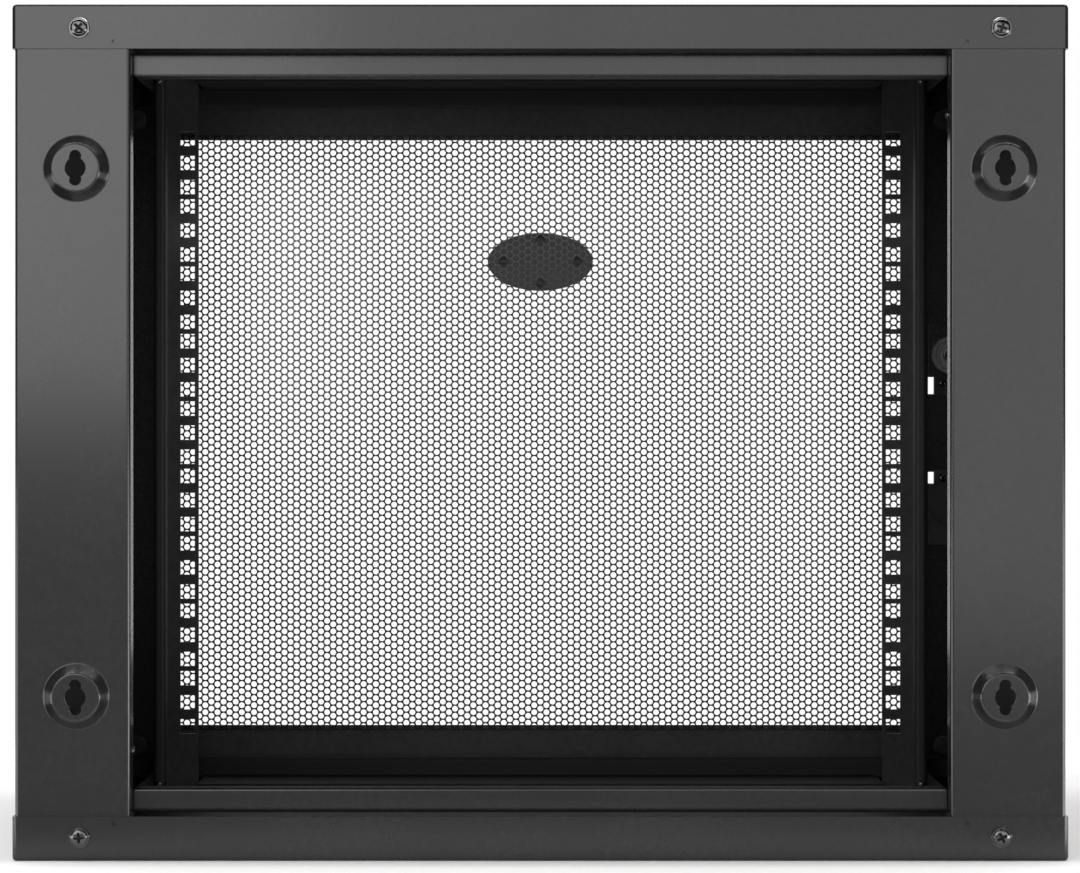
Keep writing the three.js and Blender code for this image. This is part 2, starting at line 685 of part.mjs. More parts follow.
function door() {
  const group = new THREE.Group();
  group.add(piece("door_frame", doorFrame(), powderCoat));
  group.add(piece("door_mesh", doorMesh(), powderCoat));
  group.add(piece("badge_plate", badgePlate(), darkPlastic));
  const sheetBack = DOOR_BACK_Y + GAP + MESH_SHEET;
  for (const [name, [x, z]] of Object.entries(BADGE_CLIPS)) {
    group.add(piece(name, badgeClip(), blackSteel, [x, sheetBack, z]));
  }
  const { x, z } = BUMPER;
  const face = DOOR_BACK_Y + GAP;
  group.add(
    ...pair("door_bumper_bottom_right", "door_bumper_top_left", bumper(), rubber, [x, face, z]),
    ...pair("door_bumper_bottom_left", "door_bumper_top_right", bumper(), rubber, [-x, face, z]),
  );
  group.add(piece("hinge_pin_bottom", hingePin(), zinc, [HINGE_X, HINGE_Y, 0]));
  const upper = hingePin().rotateX(Math.PI);
  group.add(piece("hinge_pin_top", upper, zinc, [HINGE_X, HINGE_Y, HEIGHT]));
  group.add(handle());
  return group;
}

// ---- handle, about the spindle's centre on the door's front skin ----

function escutcheon() {
  const { halfX, waistX, z0, z1, thickness } = ESCUTCHEON;
  const span = [-thickness - GAP, -GAP];
  const upperZ = UPPER_SLOT_Z[1] + 1.7 - SPINDLE_Z;
  const lowerZ = LOWER_SLOT_Z[0] - 1.8 - SPINDLE_Z;
  const upper = prism("y", roundedRectangle(-halfX, upperZ, halfX, z1 - SPINDLE_Z, 5), ...span, 3);
  const lower = prism("y", roundedRectangle(-halfX, z0 - SPINDLE_Z, halfX, lowerZ, 5), ...span, 3);
  const waist = box([-waistX, span[0], lowerZ - 6], [waistX, span[1], upperZ + 6]);
  return upper.add(lower).add(waist).subtract(bar("y", 5.4, [0, 0, 0], -9, 2, 16));
}

function clampUpper() {
  const [z0, z1] = UPPER_CLAMP_Z.map((z) => z - SPINDLE_Z);
  const back = THIN + GAP;
  const outline = roundedRectangle(-CLAMP_HALF_X, z0, CLAMP_HALF_X, z1, 2);
  const plate = prism("y", outline, back, back + CLAMP_SHEET, 3);
  const notchX = SLOT_X - HANDLE_X;
  const [low, high] = UPPER_SLOT_Z.map((z) => z - SPINDLE_Z);
  return plate
    .subtract(box([notchX, back - 1, low], [CLAMP_HALF_X + 1, back + 3, high]))
    .subtract(bar("y", 6, [0, 0, 0], back - 1, back + 3, 16));
}

// The lower clamp carries a blind housing, square above and round below.
function clampLower() {
  const [z0, z1] = LOWER_CLAMP_Z.map((z) => z - SPINDLE_Z);
  const back = THIN + GAP;
  const outline = roundedRectangle(-CLAMP_HALF_X, z0, CLAMP_HALF_X, z1, 2);
  const plate = prism("y", outline, back, back + CLAMP_SHEET, 3);
  const notchX = SLOT_X - HANDLE_X;
  const [low, high] = LOWER_SLOT_Z.map((z) => z - SPINDLE_Z);
  const notch = box([notchX, back - 1, low], [CLAMP_HALF_X + 1, back + 3, high]);
  const lockZ = LOCK_Z - SPINDLE_Z;
  const topZ = low - GAP;
  const { radius, depth } = LOCK_HOUSING;
  const shape = new THREE.Shape();
  shape.moveTo(-radius, lockZ);
  shape.absarc(0, lockZ, radius, Math.PI, 2 * Math.PI);
  shape.lineTo(radius, topZ);
  shape.lineTo(-radius, topZ);
  return plate.subtract(notch).add(prism("y", shape, back + 1, back + 1 + depth, 8));
}

function spindle() {
  const profile = [[0, -6.2], [6.2, -6.2], [7, -5.8], [7, -5.3], [5, -5.3], [5, 27], [0, 27]];
  return turnedProfile(profile, 16);
}

// The cam is a disc with a short nose towards the door's edge.
function lockCam() {
  const disc = bar("y", 12.8, [0, 0, 0], 22, 25, 28);
  const nose = box([-13.4, 22, -5], [0, 25, 5]);
  return disc.add(nose).subtract(bar("y", 5.3, [0, 0, 0], 21, 26, 16));
}

function camNut() {
  return bar("y", 6, [0, 0, 0], 25.3, 30, 6).subtract(bar("y", 5.3, [0, 0, 0], 24, 27.4, 16));
}

function lever() {
  const { halfX, z0, z1, thickness, gap } = LEVER;
  const back = -ESCUTCHEON.thickness - GAP - gap;
  const outline = roundedRectangle(-halfX, z0 - SPINDLE_Z, halfX, z1 - SPINDLE_Z, 6);
  const shape = new THREE.ExtrudeGeometry(outline, {
    depth: thickness - 3,
    bevelThickness: 1.5,
    bevelSize: 1.5,
    bevelOffset: -1.5,
    bevelSegments: 2,
    curveSegments: 3,
  });
  shape.applyMatrix4(new THREE.Matrix4().makeBasis(X_AXIS, Z_AXIS, Y_AXIS.clone().negate()));
  shape.translate(0, back - 1.5, 0);
  const lockZ = LOCK_Z - SPINDLE_Z;
  return toSolid(shape).subtract(bar("y", 6.2, [0, 0, lockZ], back - thickness - 1, back + 1, 20));
}

function lockCylinder() {
  const lockZ = LOCK_Z - SPINDLE_Z;
  const back = -ESCUTCHEON.thickness - GAP - LEVER.gap;
  const front = back - LEVER.thickness - 0.8;
  const core = bar("y", 5.7, [0, 0, lockZ], front, back - 0.6, 16);
  return core.subtract(box([-0.8, front - 1, lockZ - 3], [0.8, front + 4, lockZ + 3]));
}

function handle() {
  const group = new THREE.Group();
  group.position.set(HANDLE_X, DOOR_FRONT_Y, SPINDLE_Z);
  group.add(piece("handle_escutcheon", escutcheon(), darkPlastic));
  group.add(piece("handle_clamp_upper", clampUpper(), blackSteel));
  group.add(piece("handle_clamp_lower", clampLower(), darkPlastic));
  group.add(piece("handle_spindle", spindle(), zinc));
  group.add(piece("lock_cam", lockCam(), blackSteel));
  group.add(piece("cam_nut", camNut(), zinc));
  group.add(piece("handle_lever", lever(), darkPlastic));
  group.add(piece("lock_cylinder", lockCylinder(), zinc));
  return group;
}

const rackCabinet = new THREE.Group();
rackCabinet.add(cabinet(), mountingRails(), sidePanels(), door());

export default rackCabinet;
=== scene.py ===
"""Looks of the wall-mount rack cabinet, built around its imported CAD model.

Metres, +Z up. The door faces -Y and the wall side faces +Y. The camera stands behind the
wall side and looks through the open back at the perforated door.
"""

import json
import math

import bmesh
import bpy
from mathutils import Matrix, Vector

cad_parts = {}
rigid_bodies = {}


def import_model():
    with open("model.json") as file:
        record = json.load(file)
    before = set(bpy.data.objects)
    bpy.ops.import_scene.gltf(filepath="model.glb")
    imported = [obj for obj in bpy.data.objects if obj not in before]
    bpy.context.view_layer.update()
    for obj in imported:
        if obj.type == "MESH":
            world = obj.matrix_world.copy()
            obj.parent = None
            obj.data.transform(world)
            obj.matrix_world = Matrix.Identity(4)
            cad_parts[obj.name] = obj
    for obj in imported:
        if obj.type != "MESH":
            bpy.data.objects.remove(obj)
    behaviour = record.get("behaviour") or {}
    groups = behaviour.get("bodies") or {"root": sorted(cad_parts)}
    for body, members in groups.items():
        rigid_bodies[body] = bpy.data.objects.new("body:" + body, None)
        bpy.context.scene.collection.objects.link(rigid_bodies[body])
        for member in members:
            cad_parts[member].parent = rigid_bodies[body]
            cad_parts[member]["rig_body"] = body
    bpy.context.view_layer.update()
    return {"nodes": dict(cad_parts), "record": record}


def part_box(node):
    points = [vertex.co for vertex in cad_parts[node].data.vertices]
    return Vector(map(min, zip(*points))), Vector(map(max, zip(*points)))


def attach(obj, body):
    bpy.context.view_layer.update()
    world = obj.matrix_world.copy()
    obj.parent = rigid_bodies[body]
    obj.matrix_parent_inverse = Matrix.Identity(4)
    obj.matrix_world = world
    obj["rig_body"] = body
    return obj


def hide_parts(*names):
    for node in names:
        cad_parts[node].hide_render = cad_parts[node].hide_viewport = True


MM = 0.001

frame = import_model()

# ---- places from the frame, in metres ----

COVER_LOW, COVER_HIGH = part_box("bottom_cover")
TOP_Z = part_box("top_cover")[1].z
MID_Z = TOP_Z / 2
REAR_Y = COVER_HIGH.y
DOOR_SKIN_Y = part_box("door_frame")[0].y + 1.1 * MM
# The depth of the walls of the rails' square holes, which get painted shade.
RAIL_HOLES_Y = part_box("mounting_rail_right")[1].y - 11 * MM
BAR_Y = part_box("rear_crossbar_bottom")[1].y
# Farther than this from the middle are the side channels and the mounting rails' flanges, where the
# coats paint shade.
CHANNEL_X = 0.2466

FLOOR_RADIUS = 0.62
FLOOR_Y = -0.2
FLOOR_SIDES = 96
ROOM_LIGHT = 0.045

# ---- materials ----


def new_material(name):
    material = bpy.data.materials.new(name)
    material.use_nodes = True
    nodes = material.node_tree.nodes
    return material, nodes, material.node_tree.links, nodes["Principled BSDF"]


def object_coordinates(nodes, links, stretch=(1, 1, 1)):
    """The object's own coordinates in metres, stretched for brushed or drawn surfaces."""
    source = nodes.new("ShaderNodeTexCoord")
    mapping = nodes.new("ShaderNodeMapping")
    mapping.inputs["Scale"].default_value = stretch
    links.new(source.outputs["Object"], mapping.inputs["Vector"])
    return mapping.outputs["Vector"]


def noise(nodes, links, vector, size, detail=2.0, roughness=0.5):
    """Noise whose features are about size metres across."""
    node = nodes.new("ShaderNodeTexNoise")
    node.inputs["Scale"].default_value = 1 / size
    node.inputs["Detail"].default_value = detail
    node.inputs["Roughness"].default_value = roughness
    links.new(vector, node.inputs["Vector"])
    return node.outputs["Fac"]


def ramp(nodes, links, value, low, high, start=0.3, end=0.7):
    """A value or colour that runs from low to high as the input goes from start to end."""
    if isinstance(low, (tuple, list)):
        node = nodes.new("ShaderNodeValToRGB")
        node.color_ramp.elements[0].position = start
        node.color_ramp.elements[0].color = (*low, 1)
        node.color_ramp.elements[1].position = end
        node.color_ramp.elements[1].color = (*high, 1)
        links.new(value, node.inputs["Fac"])
        return node.outputs["Color"]
    node = nodes.new("ShaderNodeMapRange")
    node.inputs["From Min"].default_value = start
    node.inputs["From Max"].default_value = end
    node.inputs["To Min"].default_value = low
    node.inputs["To Max"].default_value = high
    links.new(value, node.inputs["Value"])
    return node.outputs["Result"]


def bump(nodes, links, height, depth, strength, below=None):
    node = nodes.new("ShaderNodeBump")
    node.inputs["Distance"].default_value = depth
    node.inputs["Strength"].default_value = strength
    links.new(height, node.inputs["Height"])
    if below is not None:
        links.new(below, node.inputs["Normal"])
    return node.outputs["Normal"]


def maths(nodes, links, operation, *values):
    """A Math node; each value is a number or the output of another node."""
    node = nodes.new("ShaderNodeMath")
    node.operation = operation
    for socket, value in zip(node.inputs, values):
        if isinstance(value, (int, float)):
            socket.default_value = value
        else:
            links.new(value, socket)
    return node.outputs["Value"]


def inside_shade_mask(nodes, links, vector):
    """1 on the cabinet's inside, its top and its underside, 0 on its sides and its rear: where the
    coats paint shade.
    """
    axes = nodes.new("ShaderNodeSeparateXYZ")
    links.new(vector, axes.inputs["Vector"])
    across = maths(nodes, links, "ABSOLUTE", axes.outputs["X"])
    height = maths(nodes, links, "SUBTRACT", axes.outputs["Z"], MID_Z)
    height = maths(nodes, links, "ABSOLUTE", height)
    tests = [
        maths(nodes, links, "LESS_THAN", across, COVER_HIGH.x - 2.1 * MM),
        maths(nodes, links, "LESS_THAN", height, MID_Z - 0.6 * MM),
        maths(nodes, links, "LESS_THAN", axes.outputs["Y"], REAR_Y - 19 * MM),
        maths(nodes, links, "GREATER_THAN", axes.outputs["Y"], COVER_LOW.y + 0.6 * MM),
    ]
    mask = tests[0]
    for test in tests[1:]:
        mask = maths(nodes, links, "MULTIPLY", mask, test)
    top = maths(nodes, links, "GREATER_THAN", height, MID_Z - 0.3 * MM)
    return maths(nodes, links, "MAXIMUM", mask, top)


def channel_shade_mask(nodes, links, vector):
    """1 in the deep side channels behind the mounting rails, 0 elsewhere: where the coats paint
    shade.
    """
    axes = nodes.new("ShaderNodeSeparateXYZ")
    links.new(vector, axes.inputs["Vector"])
    across = maths(nodes, links, "ABSOLUTE", axes.outputs["X"])
    outer = maths(nodes, links, "GREATER_THAN", across, CHANNEL_X)
    behind = maths(nodes, links, "GREATER_THAN", axes.outputs["Y"], DOOR_SKIN_Y)
    return maths(nodes, links, "MULTIPLY", outer, behind)


def near_mask(axis, middle, reach):
    """A mask that is 1 where a coordinate or its mirror image is within reach of middle."""

    def mask(nodes, links, vector):
        axes = nodes.new("ShaderNodeSeparateXYZ")
        links.new(vector, axes.inputs["Vector"])
        distance = maths(nodes, links, "ABSOLUTE", axes.outputs[axis])
        distance = maths(nodes, links, "SUBTRACT", distance, abs(middle))
        distance = maths(nodes, links, "ABSOLUTE", distance)
        return maths(nodes, links, "LESS_THAN", distance, reach)

    return mask


def rail_shade_mask(nodes, links, vector):
    """1 in the side channels and on the walls of the rails' square holes: where the rails' coat
    paints shade.
    """
    holes = near_mask("Y", RAIL_HOLES_Y, 0.8 * MM)(nodes, links, vector)
    return maths(nodes, links, "MAXIMUM", holes, channel_shade_mask(nodes, links, vector))


BLUE_TINT = 1.04


def powder_coat(name, shade, mask_of, painted_shade_kept, roughened, specular=0.5):
    """Textured powder coat: a fine pebbled skin over mottling and faint waves in the sheet.

    Where mask_of gives 1, the colour is multiplied by painted_shade_kept, which paints shade there,
    and roughened is added to the roughness.
    """
    material, nodes, links, shader = new_material(name)
    vector = object_coordinates(nodes, links)
    pebbles = noise(nodes, links, vector, 0.8 * MM, 3, 0.6)
    mottle = noise(nodes, links, vector, 4 * MM, 2)
    flow = noise(nodes, links, vector, 11 * MM, 2)
    cloud = noise(nodes, links, vector, 70 * MM, 3)
    tone = maths(nodes, links, "MULTIPLY", maths(nodes, links, "ADD", cloud, mottle), 0.5)
    dark = tuple(0.8 * shade * c for c in (1, 1, BLUE_TINT))
    light = tuple(1.2 * shade * c for c in (1, 1, BLUE_TINT))
    colour = ramp(nodes, links, tone, dark, light, 0.35, 0.65)
    roughness = ramp(nodes, links, pebbles, 0.14, 0.22)
    mask = mask_of(nodes, links, vector)
    # Painted shade: the colour is scaled down where the mask is 1.
    scale = nodes.new("ShaderNodeVectorMath")
    scale.operation = "SCALE"
    links.new(colour, scale.inputs[0])
    links.new(maths(nodes, links, "MULTIPLY_ADD", mask, painted_shade_kept - 1, 1), scale.inputs["Scale"])
    links.new(scale.outputs["Vector"], shader.inputs["Base Color"])
    roughness = maths(nodes, links, "MULTIPLY_ADD", mask, roughened, roughness)
    links.new(roughness, shader.inputs["Roughness"])
    shader.inputs["Specular IOR Level"].default_value = specular
    waves = bump(nodes, links, flow, 0.05 * MM, 0.25)
    skin = bump(nodes, links, pebbles, 0.05 * MM, 0.22, below=waves)
    links.new(skin, shader.inputs["Normal"])
    return material


def moulded_plastic(name, shade):
    """Spark-eroded dark plastic with a slight sheen."""
    material, nodes, links, shader = new_material(name)
    vector = object_coordinates(nodes, links)
    grain = noise(nodes, links, vector, 0.4 * MM, 2)
    cloud = noise(nodes, links, vector, 22 * MM, 2)
    dark = tuple(0.8 * shade for _ in range(3))
    light = tuple(1.2 * shade for _ in range(3))
    links.new(ramp(nodes, links, cloud, dark, light), shader.inputs["Base Color"])
    links.new(ramp(nodes, links, grain, 0.34, 0.5), shader.inputs["Roughness"])
    links.new(bump(nodes, links, grain, 0.02 * MM, 0.4), shader.inputs["Normal"])
    return material


def plated_steel(name, shade, stretch, rough=(0.22, 0.42)):
    """Zinc-plated steel: drawn lines along one axis and cloudy plating."""
    material, nodes, links, shader = new_material(name)
    vector = object_coordinates(nodes, links, stretch)
    lines = noise(nodes, links, vector, 0.25 * MM, 2)
    cloud = noise(nodes, links, object_coordinates(nodes, links), 4 * MM, 3)
    dark = tuple(0.78 * c for c in shade)
    links.new(ramp(nodes, links, cloud, dark, shade), shader.inputs["Base Color"])
    links.new(ramp(nodes, links, lines, *rough), shader.inputs["Roughness"])
    shader.inputs["Metallic"].default_value = 1
    links.new(bump(nodes, links, lines, 0.01 * MM, 0.4), shader.inputs["Normal"])
    return material


def oxide_steel(name, thick, thin):
    """Blackened steel, its shade running from thick oxide to paler patches of thin oxide."""
    material, nodes, links, shader = new_material(name)
    vector = object_coordinates(nodes, links)
    patches = noise(nodes, links, vector, 3 * MM, 4)
    grain = noise(nodes, links, vector, 0.3 * MM, 2)
    colour = ramp(nodes, links, patches, (thick,) * 3, (thin,) * 3, 0.4, 0.8)
    links.new(colour, shader.inputs["Base Color"])
    links.new(ramp(nodes, links, grain, 0.3, 0.5), shader.inputs["Roughness"])
    shader.inputs["Metallic"].default_value = 0.7
    links.new(bump(nodes, links, grain, 0.015 * MM, 0.4), shader.inputs["Normal"])
    return material


def matt_rubber(name):
    material, nodes, links, shader = new_material(name)
    vector = object_coordinates(nodes, links)
    grain = noise(nodes, links, vector, 0.5 * MM, 3)
    cloud = noise(nodes, links, vector, 6 * MM, 2)
    colour = ramp(nodes, links, cloud, (0.008, 0.008, 0.008), (0.018, 0.018, 0.018))
    links.new(colour, shader.inputs["Base Color"])
    links.new(ramp(nodes, links, grain, 0.7, 0.9), shader.inputs["Roughness"])
    links.new(bump(nodes, links, grain, 0.03 * MM, 0.4), shader.inputs["Normal"])
    return material


def pale_floor(name):
    """A plain pale floor that fades into the white behind it towards its rim."""
    material, nodes, links, shader = new_material(name)
    vector = object_coordinates(nodes, links)
    cloud = noise(nodes, links, vector, 300 * MM, 2)
    colour = ramp(nodes, links, cloud, (0.93, 0.93, 0.93), (0.95, 0.95, 0.95))
    links.new(colour, shader.inputs["Base Color"])
    shader.inputs["Roughness"].default_value = 0.9
    shader.inputs["Specular IOR Level"].default_value = 0.0
    distance = nodes.new("ShaderNodeVectorMath")
    distance.operation = "DISTANCE"
    distance.inputs[1].default_value = (0, FLOOR_Y, 0)
    links.new(vector, distance.inputs[0])
    fade = ramp(nodes, links, distance.outputs["Value"], 1, 0, 0.85 * FLOOR_RADIUS, FLOOR_RADIUS)
    links.new(fade, shader.inputs["Alpha"])
    return material


# Painted shade: the rear crossbars' coat is darkened to 0.3 everywhere more than 1.3 mm in front of
# their rear face.
BAR_SHADE_MASK = near_mask("Y", 0, BAR_Y - 1.3 * MM)

# Painted shade: this coat's colour is darkened to 0.55 on the cabinet's inside, top and underside.
COAT = powder_coat("coat", 0.013, inside_shade_mask, 0.55, 0.4)
# Painted light and shade: the door frame gets a lighter copy of the black coat (0.034 against
# 0.013), darkened to 0.1 in the side channels.
DOOR_COAT = powder_coat("door_coat", 0.034, channel_shade_mask, 0.1, 0.1)
# Painted light and shade: the rails get a lighter copy of the black coat (0.034 against 0.013),
# darkened to 0.1 in the side channels and on the hole walls.
RAIL_COAT = powder_coat("rail_coat", 0.034, rail_shade_mask, 0.1, 0.5)
BAR_COAT = powder_coat("bar_coat", 0.013, BAR_SHADE_MASK, 0.3, 0.5)
# Painted shade: the front posts' and crossbars' coat is darkened to 0.75 on the cabinet's inside.
INNER_COAT = powder_coat("inner_coat", 0.014, inside_shade_mask, 0.75, 0.4, specular=0.12)
PLASTIC = moulded_plastic("plastic", 0.012)
ZINC = plated_steel("zinc", (0.34, 0.345, 0.35), (1, 1, 0.05))
DARK_ZINC = plated_steel("dark_zinc", (0.12, 0.12, 0.122), (1, 1, 1), (0.07, 0.16))
OXIDE = oxide_steel("oxide", 0.022, 0.06)
GREY_OXIDE = oxide_steel("grey_oxide", 0.22, 0.3)
RUBBER = matt_rubber("rubber")

SLOT_MATERIALS = {
    "powder_coat": COAT,
    "dark_plastic": PLASTIC,
    "zinc": ZINC,
    "black_steel": OXIDE,
    "rubber": RUBBER,
}

# ---- objects, carried-over CAD nodes ----


def link(name, mesh):
    """A new object with this mesh, in the scene."""
    obj = bpy.data.objects.new(name, mesh)
    bpy.context.scene.collection.objects.link(obj)
    return obj


def smooth_group():
    """Geometry nodes that shade smooth across shallow edges and keep the others sharp."""
    group = bpy.data.node_groups.new("smooth_by_angle", "GeometryNodeTree")
    group.interface.new_socket("Geometry", in_out="INPUT", socket_type="NodeSocketGeometry")
    group.interface.new_socket("Geometry", in_out="OUTPUT", socket_type="NodeSocketGeometry")
    nodes, links = group.nodes, group.links
    start = nodes.new("NodeGroupInput")
    end = nodes.new("NodeGroupOutput")
    faces = nodes.new("GeometryNodeSetShadeSmooth")
    faces.domain = "FACE"
    edges = nodes.new("GeometryNodeSetShadeSmooth")
    edges.domain = "EDGE"
    edges.inputs["Shade Smooth"].default_value = False
    angle = nodes.new("GeometryNodeInputMeshEdgeAngle")
    sharp = nodes.new("FunctionNodeCompare")
    sharp.data_type = "FLOAT"
    sharp.operation = "GREATER_THAN"
    sharp.inputs["B"].default_value = math.radians(40)
    links.new(start.outputs[0], faces.inputs["Geometry"])
    links.new(faces.outputs[0], edges.inputs["Geometry"])
    links.new(angle.outputs["Unsigned Angle"], sharp.inputs["A"])
    links.new(sharp.outputs[0], edges.inputs["Selection"])
    links.new(edges.outputs[0], end.inputs[0])
    return group


SMOOTH = smooth_group()


def soften(obj, width):
    """Rounds an object's edges and gives it smooth shading, by modifiers only."""
    weld = obj.modifiers.new("weld", "WELD")
    weld.merge_threshold = 0.01 * MM
    flat = obj.modifiers.new("flat", "DECIMATE")
    flat.decimate_type = "DISSOLVE"
    flat.angle_limit = math.radians(0.4)
    rounding = obj.modifiers.new("rounding", "BEVEL")
    rounding.width = width
    rounding.segments = 3
    rounding.limit_method = "ANGLE"
    rounding.angle_limit = math.radians(50)
    rounding.use_clamp_overlap = True
    smooth = obj.modifiers.new("smooth", "NODES")
    smooth.node_group = SMOOTH
    weighted = obj.modifiers.new("weighted", "WEIGHTED_NORMAL")
    weighted.keep_sharp = True


EDGE = 0.25 * MM
REPLACED = set()
SLOTS = {part["node"]: part["material_slot"] for part in frame["record"]["subparts"]}


def dress(node, material):
    """A CAD node as it is, with a material and rounded edges."""
    obj = frame["nodes"][node]
    obj.data.materials.clear()
    obj.data.materials.append(material)
    soften(obj, EDGE)


# ---- shapes in millimetres ----


def arc(centre, radius, start, stop, steps):
    """Points on an arc about a centre, from one angle in degrees to another."""
    angles = [math.radians(start + (stop - start) * i / steps) for i in range(steps + 1)]
    return [(centre[0] + radius * math.cos(a), centre[1] + radius * math.sin(a)) for a in angles]


def rounded_rectangle(x0, y0, x1, y1, radius):
    corners = [
        (x1 - radius, y0 + radius, -90),
        (x1 - radius, y1 - radius, 0),
        (x0 + radius, y1 - radius, 90),
        (x0 + radius, y0 + radius, 180),
    ]
    points = []
    for x, y, start in corners:
        points += arc((x, y), radius, start, start + 90, 5)
    return points


BEND_STEPS = 6


def folded_sheet(corners, thickness, bend):
    """Outline of a folded sheet seen end on, with its thickness to the left of the path."""
    path = [Vector(corner) for corner in corners]
    face, back = [], []

    def add(point, normal):
        face.append(tuple(point))
        back.insert(0, tuple(point + normal * thickness))

    for i, corner in enumerate(path):
        before = (corner - path[i - 1]).normalized() if i > 0 else None
        after = (path[i + 1] - corner).normalized() if i < len(path) - 1 else None
        if before is None or after is None:
            along = before or after
            add(corner, Vector((-along.y, along.x)))
            continue
        turn = math.copysign(1, before.x * after.y - before.y * after.x)
        angle = before.angle(after)
        radius = bend if turn > 0 else bend - thickness
        left = Vector((-before.y, before.x))
        centre = corner - before * radius * math.tan(angle / 2) + left * turn * radius
        for step in range(BEND_STEPS + 1):
            normal = left.copy()
            normal.rotate(Matrix.Rotation(turn * angle * step / BEND_STEPS, 2))
            add(centre - normal * turn * radius, normal)
    return face + back


def prism(outline, axis, start, end):
    """A solid mesh of an outline pushed along an axis; the outline is in the other two axes."""
    place = {
        "x": lambda u, v, t: (t, u, v),
        "y": lambda u, v, t: (u, t, v),
        "z": lambda u, v, t: (u, v, t),
    }[axis]
    count = len(outline)
    points = [place(u, v, start) for u, v in outline] + [place(u, v, end) for u, v in outline]
    faces = [list(range(count)), list(range(count, 2 * count))]
    faces += [[i, (i + 1) % count, count + (i + 1) % count, count + i] for i in range(count)]
    return solid_mesh(points, faces)


def lathe(profile, segments=48, ring=False):
    """A profile of (radius, height) points turned about Z; a ring's profile is a closed loop."""
    points, faces, rings = [], [], []
    for radius, height in profile:
        if radius < 1e-6:
            rings.append([len(points)])
            points.append((0, 0, height))
            continue
        rings.append(list(range(len(points), len(points) + segments)))
        for i in range(segments):
            angle = 2 * math.pi * i / segments
            points.append((radius * math.cos(angle), radius * math.sin(angle), height))
    pairs = list(zip(rings, rings[1:])) + ([(rings[-1], rings[0])] if ring else [])
    for low, high in pairs:
        for i in range(segments):
            j = (i + 1) % segments
            a, b = low[i % len(low)], low[j % len(low)]
            c, d = high[j % len(high)], high[i % len(high)]
            faces.append([v for k, v in enumerate((a, b, c, d)) if v not in (a, b, c, d)[:k]])
    return solid_mesh(points, faces)


def rod(radius, low, high, segments=48):
    """A round bar about Z, for cutting holes."""
    return lathe([(0, low), (radius, low), (radius, high), (0, high)], segments)


def solid_mesh(points, faces):
    """A mesh in metres from points in millimetres, its faces pointing out."""
    mesh = bpy.data.meshes.new("solid")
    mesh.from_pydata([tuple(c * MM for c in point) for point in points], [], faces)
    shape = bmesh.new()
    shape.from_mesh(mesh)
    bmesh.ops.recalc_face_normals(shape, faces=shape.faces)
    if shape.calc_volume(signed=True) < 0:
        bmesh.ops.reverse_faces(shape, faces=shape.faces)
    shape.to_mesh(mesh)
    shape.free()
    return mesh


def moved(mesh, matrix):
    """The same mesh moved, its faces still pointing out after a mirroring."""
    mesh.transform(matrix)
    if matrix.determinant() < 0:
        mesh.flip_normals()
    return mesh


def at(x, y, z):
    return Matrix.Translation(Vector((x, y, z)) * MM)


def combined(base, others, operation):
    """Joins meshes to a base mesh, or cuts them from it."""
    obj = link("base", base)
    helpers = []
    for other in others:
        helper = link("other", other)
        modifier = obj.modifiers.new("boolean", "BOOLEAN")
        modifier.operation = operation
        modifier.solver = "EXACT"
        modifier.object = helper
        helpers.append(helper)
    evaluated = obj.evaluated_get(bpy.context.evaluated_depsgraph_get())
    mesh = bpy.data.meshes.new_from_object(evaluated)
    for helper in [obj, *helpers]:
        bpy.data.objects.remove(helper)
    return mesh


def box_mesh(low, high):
    outline = [(low[0], low[1]), (high[0], low[1]), (high[0], high[1]), (low[0], high[1])]
    return prism(outline, "z", low[2], high[2])


def millimetres(node):
    """A CAD node's box, in millimetres."""
    low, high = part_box(node)
    return low / MM, high / MM


# Turns Z to Y, for pieces turned about the front-to-back axis.
TO_REAR = Matrix.Rotation(math.radians(-90), 4, "X")


def opposite(mesh):
    """The same piece turned half a turn about the cabinet's front-to-back centre line."""
    turned = mesh.copy()
    turned.transform(Matrix.Rotation(math.pi, 4, "Y"))
    turned.transform(Matrix.Translation((0, 0, TOP_Z)))
    return turned


def piece(name, mesh, node, material, width=EDGE):
    """A finished piece that stands for a CAD node and rides the node's body."""
    obj = link(name, mesh)
    obj.data.materials.clear()
    obj.data.materials.append(material)
    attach(obj, frame["nodes"][node]["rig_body"])
    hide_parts(node)
    REPLACED.add(node)
    if width:
        soften(obj, width)


# ---- rear posts ----

KEYHOLES = [
    (Vector(box["box_m"][0]) + Vector(box["box_m"][1])) / 2 / MM
    for box in frame["record"]["physics"]["openings"]
    if box["name"].startswith("keyhole") and "right" in box["name"]
]
BOSS_X = sum(place.x for place in KEYHOLES) / len(KEYHOLES)
BOSS_Z = [place.z for place in KEYHOLES]

POST_SHEET = 1.5
POST_BEND = 2.2
POST_LIP = 15
BOSS_RISE = 6.0
BOSS_RADIUS = 18.2
BOSS_TOP_RADIUS = 13.8
BOSS_SLOPE = 56
BOSS_FILLET = 1.1
BOSS_ROLL = 2.2
COVER_SCREW_HOLE = 2.7
LIP_SCREW_HOLE = 1.9
KEYHOLE = {"radius": 6.0, "slot": 3.5, "reach": 6.6}


